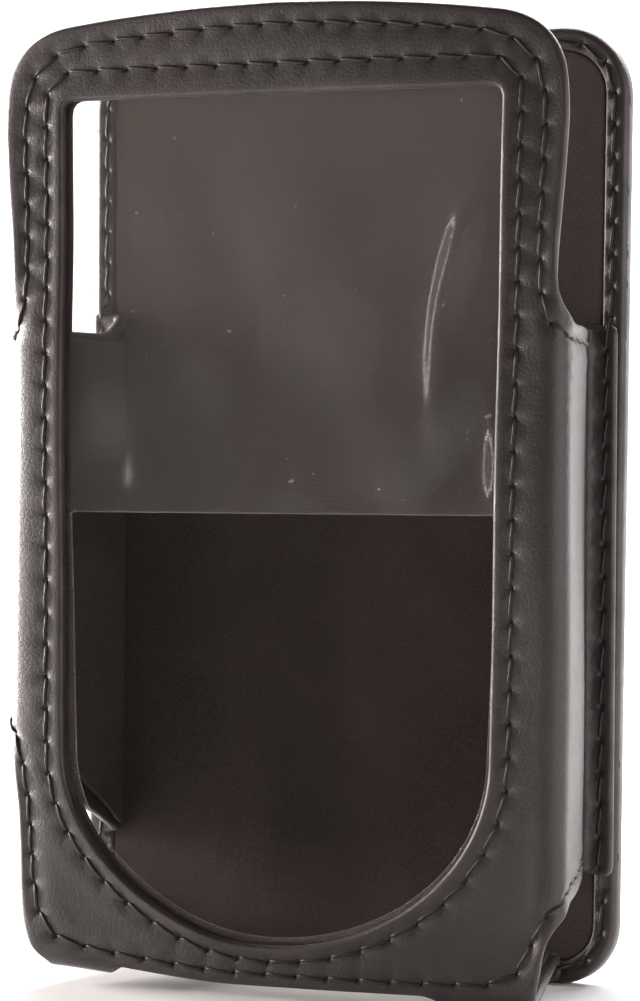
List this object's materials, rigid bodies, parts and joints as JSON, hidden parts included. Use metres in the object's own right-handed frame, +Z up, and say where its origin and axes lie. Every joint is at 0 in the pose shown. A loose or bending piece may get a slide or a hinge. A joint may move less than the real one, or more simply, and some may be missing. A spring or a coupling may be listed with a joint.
{
  "type": "leather carrying case",
  "caption": "Top-loading leather case for a handheld, with a clear film over the screen, an open keypad cut-out and a sewn belt loop.",
  "frame": {"origin": "middle of the object's box at its lowest level, where the case stands on its bottom folds and the back panel's lower edge", "axes": "+X to the right seen from the front, +Y from the front to the back, +Z up through the open top"},
  "size_m": [0.0777, 0.0402, 0.1255],
  "materials": {
    "nappa_leather": "smooth semi-gloss nappa, very dark brown",
    "fibre_board": "matt pressed fibre board",
    "clear_film": "clear soft vinyl sheet, glossy",
    "flocked_lining": "matt short-pile flock, very dark brown",
    "sewing_thread": "bonded polyester thread, slight shine"
  },
  "bodies": {
    "root": {"front_leather": "nappa_leather", "front_stiffener": "fibre_board", "window_film": "clear_film", "front_lining": "flocked_lining", "left_wall_lining": "flocked_lining", "right_wall_lining": "flocked_lining", "left_strap_lining": "flocked_lining", "right_strap_lining": "flocked_lining", "back_leather": "nappa_leather", "back_board": "fibre_board", "back_lining": "flocked_lining", "belt_loop": "nappa_leather", "belt_loop_lining": "flocked_lining", "head_edge_thread": "sewing_thread", "lower_edge_thread": "sewing_thread", "window_thread": "sewing_thread", "panel_front_thread": "sewing_thread", "panel_back_thread": "sewing_thread", "loop_upper_thread": "sewing_thread", "loop_lower_thread": "sewing_thread"}
  },
  "joints": []
}
